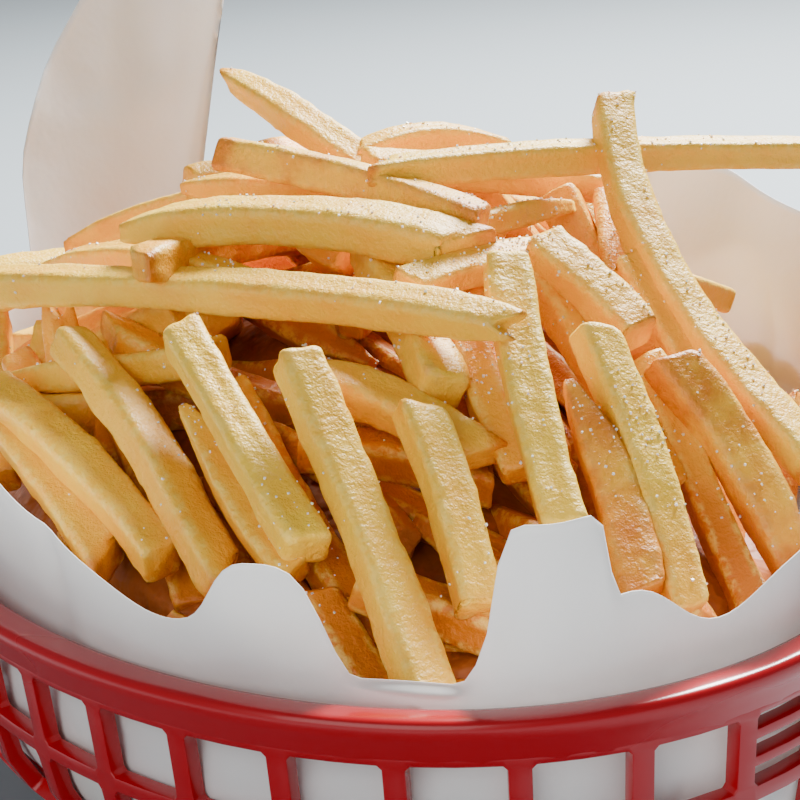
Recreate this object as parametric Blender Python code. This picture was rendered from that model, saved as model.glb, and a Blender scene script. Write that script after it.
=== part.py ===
"""French fries portion: an oval openwork plastic basket, a paper liner and a heap of fries.

Metres, +Z up.  The origin is the middle of the basket's flat underside and +Y runs along the
basket's long axis.  Azimuth a is 0 at the -Y end of the oval and grows towards +X.
"""
import math

import bmesh
import bpy
import numpy as np
from mathutils import Matrix, Vector

MM = 0.001

# Basket -------------------------------------------------------------------------------------
RIM_HALF_WIDTH = 76.0 * MM      # outer half width of the rim, along X
RIM_HALF_LENGTH = 117.0 * MM    # outer half length of the rim, along Y
BASKET_HEIGHT = 42.0 * MM
LIP_WIDTH = 5.1 * MM
LIP_FALL = 0.5 * MM             # the ledge of the lip drops this much towards the inside
BAND_HEIGHT = 6.5 * MM
BAND_LEAN = 2.4 * MM
WALL_LEAN = 0.11                # inward run per unit of depth below the band
WALL_THICKNESS = 2.2 * MM
KNEE_DEPTH = 18.0 * MM          # depth below the rim where the wall starts rounding under
KNEE_RUN = 36.0 * MM            # inward run of the rounded part
RIBS = 42
RIB_PHASE = 0.28                # place of the first rib after the -Y end, in rib pitches
RIB_WIDTH = 2.8 * MM
OPENING_DEPTH = 16.0 * MM       # lower edge of the first row of openings, below the rim
BAR_DEPTHS = (8.4 * MM, 12.0 * MM)
BAR_HEIGHT = 1.3 * MM
BARRED_FIRST = 1                # first bay with bars after the -Y end
BARRED_BAYS = 13                # bays with bars on each long side
RING_ANGLES = (28.0, 36.0)      # second ring, degrees around the rounded part
FOOT_ANGLE = 72.0               # the solid foot ring starts here
FOOT_INSET = 4.0 * MM           # width of the foot ring's flat part
PLATE_SHRINK = 13.0 * MM        # inset of the solid middle plate from the foot ring
FLOOR_RIB_EVERY = 2

# Paper --------------------------------------------------------------------------------------
PAPER_THICKNESS = 0.4 * MM
PAPER_GAP = 0.4 * MM
PAPER_COLUMNS = 66
PAPER_KNEE_GAP = 1.0 * MM       # the paper bridges the rounded part by this much more
PAPER_BASE_RISE = 9.0 * MM      # usual height of the paper edge above the rim
PAPER_FLARE = 0.10
# each lobe of the edge: place along the rim from the -Y end, half width, rise (millimetres)
# and steepness of its sides
PAPER_LOBES = (
    (-105.0, 26.0, 15.0, 2), (-58.0, 9.0, -3.5, 2), (-41.0, 7.8, 7.5, 3), (-23.5, 10.0, -9.0, 6),
    (-5.5, 6.8, 12.5, 8), (6.0, 7.0, 3.0, 2), (17.0, 9.0, -5.0, 2), (84.0, 30.0, 15.0, 2),
    (150.0, 30.0, 12.0, 2), (205.0, 36.0, 14.0, 3), (262.0, 22.0, 10.0, 2),
    (-180.0, 30.0, 10.0, 2),
)
# corners of the sheet that stand up: place, width before it, width after it, rise
PAPER_CORNERS = ((-294.0, 2.5, 42.0, 125.0),)
PAPER_HIGHEST = 70.0 * MM
PAPER_FOLD = 1.3 * MM           # depth of the soft folds
PAPER_FOLDS = 11

# Fries --------------------------------------------------------------------------------------
FRY_GAP = 0.5 * MM              # clearance between the fries and the paper
CORE_CLEARANCE = 2.6 * MM
CORE_COLUMNS = 32
CORE_CROWN = 66.0 * MM          # height of the middle of the packed mass
CORE_SHOULDER = 46.0 * MM
CORE_BACK_FALL = 12.0 * MM      # the packed mass is this much lower towards +Y
FRY_THICKNESS = 6.0 * MM
# the heap is a dome on an oval, in millimetres
HEAP_HALF_WIDTH = 71.0
HEAP_HALF_LENGTH = 110.0
HEAP_EDGE = 44.0                # height of the dome's edge
HEAP_CROWN = 42.0               # rise of its middle above the edge
HEAP_FAR_FALL = 17.0            # it is this much lower towards +Y
HEAP_FAR_FROM = -25.0
HEAP_FAR_RUN = 80.0
# Layers over the heap's near half: heading and lean beyond the dome's own slope (degrees),
# then the fries.  A fry: azimuth (degrees) and share of the way out on the oval, turn off the
# heading (degrees), depth under the dome, length and width (mm).
LAYERS = (
    (-80, -14, (
        (-65, 0.85, 5, 6, 52, 5.5), (-60, 0.80, 10, 10, 48, 6.0), (-50, 0.75, 5, 9, 50, 6.0),
        (-35, 0.80, 10, 6, 30, 5.0), (-35, 0.75, 5, 4, 38, 6.0), (-20, 0.83, 0, 6, 48, 6.0),
        (-10, 0.80, -5, 7, 27, 6.0), (5, 0.70, -15, 3, 40, 6.0), (10, 0.80, -5, 7, 29, 6.5),
        (15, 0.80, -5, 6, 38, 5.5), (30, 0.82, 20, 9, 32, 7.5), (45, 0.70, 0, -3, 62, 6.0),
        (45, 0.55, -20, 6, 36, 5.5), (-85, 0.80, -15, 8, 44, 5.0), (35, 0.70, 5, 6, 34, 5.0),
    )),
    (-45, -10, (
        (-15, 0.65, 5, 9, 25, 6.5), (-10, 0.86, 15, 15, 26, 6.0), (25, 0.58, -15, 2, 19, 6.0),
    )),
    (-45, -5, (
        (-45, 0.55, 0, 3, 86, 6.0), (-35, 0.42, 10, 1, 50, 8.0), (-60, 0.70, 0, 4, 38, 5.5),
        (-90, 0.65, -15, 1, 52, 5.5), (-65, 0.55, -15, 2, 44, 5.0), (-20, 0.32, -5, -2, 44, 5.5),
    )),
    (-60, -32, ((-65, 0.12, 0, -5, 36, 5.0),)),
    (5, 22, ((55, 0.55, 0, -8, 74, 5.0),)),
    (10, 0, (
        (68, 0.65, 25, 9, 22, 5.0), (10, 0.50, 10, 1, 27, 5.0), (30, 0.40, 20, 2, 23, 5.0),
        (120, 0.05, 0, 2, 58, 5.5),
    )),
)
# fries over the part of the heap beyond the laid ones
SIDE_FRIES = 15
SIDE_FROM = 62.0                # azimuths they cover, degrees
SIDE_SWEEP = 236.0
GOLDEN = 0.618
SIDE_SEED = 1


def ellipse_arc(count=7200):
    """Arc length against azimuth for the rim."""
    a = np.linspace(0.0, 2.0 * math.pi, count + 1)
    x = RIM_HALF_WIDTH * np.sin(a)
    y = -RIM_HALF_LENGTH * np.cos(a)
    s = np.concatenate([[0.0], np.cumsum(np.hypot(np.diff(x), np.diff(y)))])
    return a, s


ARC_ANGLE, ARC_LENGTH = ellipse_arc()
PERIMETER = float(ARC_LENGTH[-1])


def azimuth_at(s):
    return float(np.interp(s % PERIMETER, ARC_LENGTH, ARC_ANGLE))


def arc_at(a):
    return float(np.interp(a % (2.0 * math.pi), ARC_ANGLE, ARC_LENGTH))


def oval_point(a, inset, z):
    """Point at azimuth a on the oval drawn in by inset, at height z."""
    return Vector(((RIM_HALF_WIDTH - inset) * math.sin(a),
                   -(RIM_HALF_LENGTH - inset) * math.cos(a), z))


def wall_profile(depth=None, knee=None):
    """Inset, height and inward normal (inset, z) of the outer face of the wall."""
    if knee is None:
        if depth <= BAND_HEIGHT:
            inset = BAND_LEAN * depth / BAND_HEIGHT
            slope = BAND_LEAN / BAND_HEIGHT
        else:
            inset = BAND_LEAN + WALL_LEAN * (depth - BAND_HEIGHT)
            slope = WALL_LEAN
        n = Vector((1.0, slope)).normalized()
        return inset, BASKET_HEIGHT - depth, n
    start = BAND_LEAN + WALL_LEAN * (KNEE_DEPTH - BAND_HEIGHT)
    rise = BASKET_HEIGHT - KNEE_DEPTH
    k = math.radians(knee)
    inset = start + KNEE_RUN * (1.0 - math.cos(k))
    z = rise * (1.0 - math.sin(k))
    n = Vector((rise * math.cos(k), KNEE_RUN * math.sin(k)))
    if n.length < 1e-9:
        n = Vector((1.0, 0.0))
    return inset, z, n.normalized()


def new_object(name, bm, colour, roughness, coat=0.0):
    mesh = bpy.data.meshes.new(name)
    bmesh.ops.recalc_face_normals(bm, faces=bm.faces[:])
    bm.to_mesh(mesh)
    bm.free()
    mesh.validate()
    obj = bpy.data.objects.new(name, mesh)
    bpy.context.scene.collection.objects.link(obj)
    mat = bpy.data.materials.new(name + "_material")
    mat.use_nodes = True
    shader = mat.node_tree.nodes["Principled BSDF"]
    shader.inputs["Base Color"].default_value = (*colour, 1.0)
    shader.inputs["Roughness"].default_value = roughness
    shader.inputs["Coat Weight"].default_value = coat
    mesh.materials.append(mat)
    return obj


def basket_rows():
    """Rows of the wall from the rim to the foot: outer and inner (inset, z), openness below."""
    rows = []

    def row(inset, z, n, kind, thick=WALL_THICKNESS):
        rows.append(((inset, z), (inset + n[0] * thick, z + n[1] * thick), kind))

    inset, z, n = wall_profile(depth=0.0)
    rows.append(((inset, z), (LIP_WIDTH, z - LIP_FALL), "solid"))
    inset, z, n = wall_profile(depth=BAND_HEIGHT)
    row(inset, z, n, "plain")
    for start in BAR_DEPTHS:
        for depth, kind in ((start, "bar"), (start + BAR_HEIGHT, "plain")):
            row(*wall_profile(depth=depth), kind)
    row(*wall_profile(depth=OPENING_DEPTH), "solid")
    row(*wall_profile(knee=0.0), "open")
    row(*wall_profile(knee=RING_ANGLES[0]), "solid")
    row(*wall_profile(knee=RING_ANGLES[1]), "open")
    row(*wall_profile(knee=0.5 * (RING_ANGLES[1] + FOOT_ANGLE)), "open")
    row(*wall_profile(knee=FOOT_ANGLE), "solid")
    inset, z, n = wall_profile(knee=90.0)
    row(inset + FOOT_INSET, z, n, "floor")
    row(inset + FOOT_INSET + PLATE_SHRINK, z, n, "end")
    return rows


def barred(bay):
    half = RIBS // 2
    return BARRED_FIRST <= bay % half < BARRED_FIRST + BARRED_BAYS


def build_basket():
    rows = basket_rows()
    columns = []
    for k in range(RIBS):
        middle = (k + RIB_PHASE) * PERIMETER / RIBS
        columns.append(azimuth_at(middle - RIB_WIDTH / 2.0))
        columns.append(azimuth_at(middle + RIB_WIDTH / 2.0))
    count = len(columns)
    bm = bmesh.new()
    outer = [[None] * count for _ in rows]
    inner = [[None] * count for _ in rows]
    for r, (out, inn, kind) in enumerate(rows):
        for c, a in enumerate(columns):
            outer[r][c] = bm.verts.new(oval_point(a, *out))
            inner[r][c] = bm.verts.new(oval_point(a, *inn))

    def solid(r, c):
        if r < 0:
            return False
        kind = rows[r][2]
        if kind == "end":
            return True
        rib = c % 2 == 0
        k = (c % count) // 2
        if kind == "solid":
            return True
        if kind == "floor":
            return rib and k % FLOOR_RIB_EVERY == 0
        if rib:
            return True
        return kind == "bar" and barred(k)

    last = len(rows) - 1
    for r in range(last):
        for c in range(count):
            if not solid(r, c):
                continue
            d = (c + 1) % count
            bm.faces.new((outer[r][c], outer[r][d], outer[r + 1][d], outer[r + 1][c]))
            bm.faces.new((inner[r][c], inner[r + 1][c], inner[r + 1][d], inner[r][d]))
            if not solid(r - 1, c):
                bm.faces.new((outer[r][c], inner[r][c], inner[r][d], outer[r][d]))
            below = True if r + 1 == last else solid(r + 1, c)
            if not below:
                bm.faces.new((outer[r + 1][c], outer[r + 1][d], inner[r + 1][d], inner[r + 1][c]))
            if not solid(r, c - 1):
                bm.faces.new((outer[r][c], outer[r + 1][c], inner[r + 1][c], inner[r][c]))
            if not solid(r, c + 1):
                bm.faces.new((outer[r][d], inner[r][d], inner[r + 1][d], outer[r + 1][d]))
    # the solid middle plate closes the floor
    bm.faces.new([outer[last][c] for c in range(count)])
    bm.faces.new([inner[last][c] for c in reversed(range(count))])
    for c in range(count):
        if not solid(last - 1, c):
            d = (c + 1) % count
            bm.faces.new((outer[last][c], outer[last][d], inner[last][d], inner[last][c]))
    loose = [v for v in bm.verts if not v.link_faces]
    bmesh.ops.delete(bm, geom=loose, context="VERTS")
    return new_object("basket", bm, (0.55, 0.008, 0.018), 0.25, 0.5)


def paper_rise(s):
    """Height of the paper edge above the rim, at arc s from the -Y end."""
    rise = PAPER_BASE_RISE
    for place, width, height, steep in PAPER_LOBES:
        away = (s - place * MM + PERIMETER / 2.0) % PERIMETER - PERIMETER / 2.0
        rise += height * MM * math.exp(-abs(away / (width * MM)) ** steep)
    for place, before, after, height in PAPER_CORNERS:
        away = (s - place * MM + PERIMETER / 2.0) % PERIMETER - PERIMETER / 2.0
        share = -away / (before * MM) if away < 0.0 else away / (after * MM)
        rise += height * MM * max(0.0, 1.0 - share)
    return min(max(rise, 1.5 * MM), PAPER_HIGHEST)


def paper_fold(a, rise):
    """Inward swing of the paper, growing with height above the foot."""
    wave = 0.5 + 0.5 * math.sin(PAPER_FOLDS * a + 1.3 * math.sin(3.0 * a))
    return PAPER_FOLD * wave * min(1.0, max(0.0, rise / (30.0 * MM)))


def paper_levels(a):
    """Levels of the paper's outer face from the floor up: (inset, z)."""
    base = PAPER_GAP
    levels = []
    for knee in (90.0, 66.0, 40.0, 14.0):
        inset, z, n = wall_profile(knee=knee)
        if knee == 90.0:
            inset += FOOT_INSET
        off = WALL_THICKNESS + base + PAPER_KNEE_GAP + paper_fold(a, z)
        if knee == 90.0:
            off = WALL_THICKNESS + base
        levels.append((inset + n[0] * off, z + n[1] * off))
    side = LIP_WIDTH + base + paper_fold(a, BASKET_HEIGHT)
    levels.append((side + 0.5 * MM, BASKET_HEIGHT - BAND_HEIGHT))
    rise = paper_rise(arc_at(a))
    levels.append((side, BASKET_HEIGHT + 0.5 * MM))
    levels.append((side - PAPER_FLARE * rise * 0.4, BASKET_HEIGHT + 0.6 * rise))
    levels.append((side - PAPER_FLARE * rise, BASKET_HEIGHT + rise))
    return levels


def shifted(levels, amount):
    """The same levels moved inward, square to the profile."""
    moved = []
    for i, (inset, z) in enumerate(levels):
        before = levels[max(i - 1, 0)]
        after = levels[min(i + 1, len(levels) - 1)]
        run = Vector((after[0] - before[0], after[1] - before[1]))
        n = Vector((run[1], -run[0]))
        if i == 0:
            n = Vector((0.0, 1.0))
        n.normalize()
        moved.append((inset + n[0] * amount, z + n[1] * amount))
    return moved


def ring_surface(bm, columns, levels_of):
    grid = []
    for a in columns:
        grid.append([bm.verts.new(oval_point(a, inset, z)) for inset, z in levels_of(a)])
    return grid


def paper_columns(count):
    return [azimuth_at(PERIMETER * (i + 0.5) / count) for i in range(count)]


def stitch(bm, grid, outward):
    count = len(grid)
    for i in range(count):
        j = (i + 1) % count
        for k in range(len(grid[i]) - 1):
            face = [grid[i][k], grid[j][k], grid[j][k + 1], grid[i][k + 1]]
            bm.faces.new(face if outward else face[::-1])


def build_paper():
    bm = bmesh.new()
    columns = paper_columns(PAPER_COLUMNS)
    outside = ring_surface(bm, columns, paper_levels)
    inside = ring_surface(bm, columns, lambda a: shifted(paper_levels(a), PAPER_THICKNESS))
    stitch(bm, outside, True)
    stitch(bm, inside, False)
    count = len(columns)
    for i in range(count):
        j = (i + 1) % count
        bm.faces.new((outside[i][-1], outside[j][-1], inside[j][-1], inside[i][-1]))
    bm.faces.new([outside[i][0] for i in reversed(range(count))])
    bm.faces.new([inside[i][0] for i in range(count)])
    return new_object("paper_liner", bm, (0.80, 0.80, 0.79), 0.55)


def fry_bar(bm, middle, heading, tilt, length, width, roll=0.0):
    """A squared bar, a little narrower at its ends."""
    turn = (Matrix.Rotation(math.radians(heading), 4, "Z")
            @ Matrix.Rotation(-math.radians(tilt), 4, "Y")
            @ Matrix.Rotation(math.radians(roll), 4, "X"))
    place = Matrix.Translation(Vector(middle) * MM) @ turn
    half = length * MM / 2.0
    w = width * MM / 2.0
    t = FRY_THICKNESS / 2.0
    corners = []
    for x, shrink in ((-half, 0.9), (half, 0.9)):
        for y, z in ((-1, -1), (1, -1), (1, 1), (-1, 1)):
            corners.append(bm.verts.new(place @ Vector((x, y * w * shrink, z * t * shrink))))
    for quad in ((3, 2, 1, 0), (4, 5, 6, 7), (0, 1, 5, 4), (1, 2, 6, 5), (2, 3, 7, 6), (3, 0, 4, 7)):
        bm.faces.new([corners[i] for i in quad])


def heap_core():
    bm = bmesh.new()
    columns = paper_columns(CORE_COLUMNS)

    def levels(a):
        inner = shifted(paper_levels(a), PAPER_THICKNESS + CORE_CLEARANCE)
        wall = inner[:5]
        wall[0] = (wall[0][0] + 2.0 * MM, wall[0][1])
        inset = wall[-1][0]
        crown = []
        for part in (0.35, 0.7):
            back = CORE_BACK_FALL * max(0.0, -math.cos(a))
            top = CORE_CROWN - CORE_SHOULDER - back
            level = CORE_SHOULDER + top * math.sin(part * math.pi / 2.0)
            crown.append((inset + (RIM_HALF_WIDTH - inset) * part * 0.95, level))
        return wall + [(inset + 3.0 * MM, CORE_SHOULDER)] + crown

    grid = ring_surface(bm, columns, levels)
    stitch(bm, grid, True)
    bm.faces.new([column[0] for column in reversed(grid)])
    bm.faces.new([column[-1] for column in grid])
    return new_object("fries_heap", bm, (0.80, 0.48, 0.14), 0.5)


def outside_block():
    """Everything below and outside the paper's inner face, up to the paper's edge."""
    bm = bmesh.new()
    columns = paper_columns(PAPER_COLUMNS)

    def levels(a):
        inner = shifted(paper_levels(a), PAPER_THICKNESS + FRY_GAP)
        top = inner[-1]
        edge = (top[0], top[1] + FRY_GAP)
        far = (-70.0 * MM, edge[1])
        under = (-70.0 * MM, -30.0 * MM)
        return inner[:-1] + [edge, far, under]

    grid = ring_surface(bm, columns, levels)
    stitch(bm, grid, False)
    bm.faces.new([column[0] for column in grid])
    bm.faces.new([column[-1] for column in reversed(grid)])
    block = new_object("outside_block", bm, (0.5, 0.5, 0.5), 0.5)
    block.hide_render = True
    block.display_type = "WIRE"
    return block


def dome_top(x, y):
    """Height of the heap's dome over the oval, in millimetres."""
    out = min(1.0, (x / HEAP_HALF_WIDTH) ** 2 + (y / HEAP_HALF_LENGTH) ** 2)
    far = min(1.0, max(0.0, (y - HEAP_FAR_FROM) / HEAP_FAR_RUN))
    return HEAP_EDGE + (HEAP_CROWN - HEAP_FAR_FALL * far) * (1.0 - out) ** 0.75


def resting(angle, out, heading, lean, depth, length):
    """Middle, heading and tilt of a fry that rests on the dome at both ends."""
    a = math.radians(angle)
    h = math.radians(heading)
    x = HEAP_HALF_WIDTH * out * math.sin(a)
    y = -HEAP_HALF_LENGTH * out * math.cos(a)
    dx = math.cos(h) * length / 2.0
    dy = math.sin(h) * length / 2.0
    rise = dome_top(x + dx, y + dy) - dome_top(x - dx, y - dy)
    tilt = math.degrees(math.atan2(rise, length)) + lean
    return x, y, dome_top(x, y) - depth, heading, tilt


def laid_fries():
    bars = []
    for heading, lean, row in LAYERS:
        for angle, out, turn, depth, length, width in row:
            bars.append((*resting(angle, out, heading + turn, lean, depth, length), length, width))
    return bars


def side_fries():
    """Fries lying over the far part of the heap, spread evenly with uneven turns."""
    rng = np.random.RandomState(SIDE_SEED)
    bars = []
    for i in range(SIDE_FRIES):
        angle = SIDE_FROM + SIDE_SWEEP * ((i * GOLDEN) % 1.0)
        out = 0.35 + 0.42 * (i + 0.5) / SIDE_FRIES
        heading = angle - 90.0 + rng.uniform(-55.0, 55.0)
        length = rng.uniform(44.0, 76.0)
        depth = rng.uniform(1.0, 5.0)
        bars.append((*resting(angle, out, heading, 0.0, depth, length), length,
                     rng.uniform(5.6, 7.4)))
    return bars


def build_fries():
    core = heap_core()
    bm = bmesh.new()
    for i, (x, y, z, heading, tilt, length, width) in enumerate(laid_fries() + side_fries()):
        fry_bar(bm, (x, y, z), heading, tilt, length, width, roll=(i * 37) % 30 - 15)
    bars = new_object("laid_fries", bm, (0.5, 0.5, 0.5), 0.5)
    bars.hide_render = True
    bars.display_type = "WIRE"
    block = outside_block()
    for tool, operation in ((bars, "UNION"), (block, "DIFFERENCE")):
        cut = core.modifiers.new(operation.lower(), "BOOLEAN")
        cut.object = tool
        cut.operation = operation
        cut.solver = "EXACT"
        cut.use_self = True
        bpy.context.view_layer.update()
        graph = bpy.context.evaluated_depsgraph_get()
        mesh = bpy.data.meshes.new_from_object(core.evaluated_get(graph))
        core.modifiers.clear()
        core.data = mesh
        bpy.data.objects.remove(tool)
    keep_largest(core)
    return core


def keep_largest(obj):
    """Drop loose scraps and tidy the cut edges."""
    bm = bmesh.new()
    bm.from_mesh(obj.data)
    bmesh.ops.remove_doubles(bm, verts=bm.verts[:], dist=0.00005)
    bmesh.ops.dissolve_degenerate(bm, edges=bm.edges[:], dist=0.00005)
    seen = set()
    groups = []
    for start in bm.verts:
        if start in seen:
            continue
        stack = [start]
        seen.add(start)
        group = []
        while stack:
            v = stack.pop()
            group.append(v)
            for e in v.link_edges:
                w = e.other_vert(v)
                if w not in seen:
                    seen.add(w)
                    stack.append(w)
        groups.append(group)
    groups.sort(key=len)
    for group in groups[:-1]:
        bmesh.ops.delete(bm, geom=group, context="VERTS")
    bmesh.ops.triangulate(bm, faces=bm.faces[:])
    bmesh.ops.recalc_face_normals(bm, faces=bm.faces[:])
    bm.to_mesh(obj.data)
    bm.free()


def main():
    for obj in list(bpy.data.objects):
        bpy.data.objects.remove(obj)
    build_basket()
    build_paper()
    build_fries()


main()
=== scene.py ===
"""French fries portion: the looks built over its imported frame.

Metres, +Z up.  +Y runs along the basket's long axis and azimuth 0 is its -Y end.
"""
import math

import bmesh
import bpy
import numpy as np
from mathutils import Matrix, Vector


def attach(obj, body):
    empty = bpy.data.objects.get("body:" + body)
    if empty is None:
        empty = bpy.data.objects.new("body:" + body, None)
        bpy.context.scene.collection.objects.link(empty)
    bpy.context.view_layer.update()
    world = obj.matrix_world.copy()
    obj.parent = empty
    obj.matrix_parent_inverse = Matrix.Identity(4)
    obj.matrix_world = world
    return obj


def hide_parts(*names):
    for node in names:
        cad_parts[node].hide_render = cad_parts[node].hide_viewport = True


bl_info = {
    "name": "French Fries Portion",
    "version": (1, 0, 0),
    "blender": (4, 5, 0),
    "location": "View3D > Sidebar > Fries",
    "description": "Builds a basket of french fries with its paper liner",
    "category": "Object",
}

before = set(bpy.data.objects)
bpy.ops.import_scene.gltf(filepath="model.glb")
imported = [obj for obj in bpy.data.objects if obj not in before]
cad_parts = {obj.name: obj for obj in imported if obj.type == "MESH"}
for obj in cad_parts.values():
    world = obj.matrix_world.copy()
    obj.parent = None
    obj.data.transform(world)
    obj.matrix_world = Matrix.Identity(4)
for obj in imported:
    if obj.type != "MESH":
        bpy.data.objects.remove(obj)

MM = 0.001

# The basket's form, as in the solid part
RIM_HALF_WIDTH = 76.0 * MM
RIM_HALF_LENGTH = 117.0 * MM
RIM_HEIGHT = 42.0 * MM
LIP_WIDTH = 5.1 * MM
BAND_HEIGHT = 6.5 * MM
BAND_LEAN = 2.4 * MM
WALL_LEAN = 0.11
KNEE_DEPTH = 18.0 * MM
KNEE_RUN = 36.0 * MM
RIBS = 42
RIB_PHASE = 0.28
BARRED_FIRST = 1
BARRED_BAYS = 13
OPENING_DEPTH = 16.0 * MM
RING_KNEES = (28.0, 36.0)
FOOT_KNEE = 72.0
FOOT_INSET = 4.0 * MM
SLOT_RUN = 13.0 * MM

# cross-section of the rim: inset from the outer edge and drop from the top, millimetres
RIM_SECTION = (
    (0.00, 1.30), (0.06, 0.72), (0.30, 0.28), (0.75, 0.05), (1.30, 0.00), (2.60, 0.08),
    (3.90, 0.26), (4.60, 0.42), (4.98, 0.80), (5.08, 1.50), (4.95, 4.00), (4.85, 6.10),
    (4.50, 6.55), (3.60, 6.70), (2.90, 6.68), (2.52, 6.45), (2.28, 6.00), (1.55, 4.20),
    (0.80, 2.75),
)

# lobes of the paper's edge: place along the rim from the -Y end, half width, rise (mm),
# and steepness of the sides (2 is a soft hump)
PAPER_LOBES = (
    (-105.0, 26.0, 15.0, 2), (-58.0, 9.0, -3.5, 2), (-41.0, 7.8, 7.5, 3), (-23.5, 10.0, -9.0, 6),
    (-5.5, 6.8, 12.5, 8), (6.0, 7.0, 3.0, 2), (17.0, 9.0, -5.0, 2), (84.0, 30.0, 15.0, 2),
    (150.0, 30.0, 12.0, 2), (205.0, 36.0, 14.0, 3), (262.0, 22.0, 10.0, 2),
    (-180.0, 30.0, 10.0, 2),
)
# corners of the sheet that stand up: place, width before it, width after it, rise (mm)
PAPER_CORNERS = ((-294.0, 2.5, 42.0, 125.0),)
CORNER_LEAN = 0.26
PAPER_HIGHEST = 70.0 * MM

# The heap is a dome on an oval, in millimetres
HEAP_HALF_WIDTH = 71.0
HEAP_HALF_LENGTH = 110.0
HEAP_EDGE = 44.0                # height of the dome's edge
HEAP_CROWN = 42.0               # rise of its middle above the edge
HEAP_FAR_FALL = 17.0            # it is this much lower towards +Y

CAMERA_PLACE = (-0.0731, -0.3453, 0.1517)

LOWEST_MIDDLE = 7.5             # lowest place of a fry's middle line, millimetres
LARGEST_OVERLAP = 0.8           # a packed fry that meets the paper by more is left out

# direction the laid fries give way in, so that they keep their order from the -Y end
GIVE_WAY = (0.2, 0.93, -0.3)

# fries standing under the laid ones down the near face: how many, azimuths they cover
# (degrees), share of the way out and its stagger, depth under the dome (mm)
NEAR_COUNT = 36
NEAR_SPREAD = 150.0
NEAR_OUT = 0.80
NEAR_STAGGER = 0.08
NEAR_DEPTH = 15.0

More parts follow.
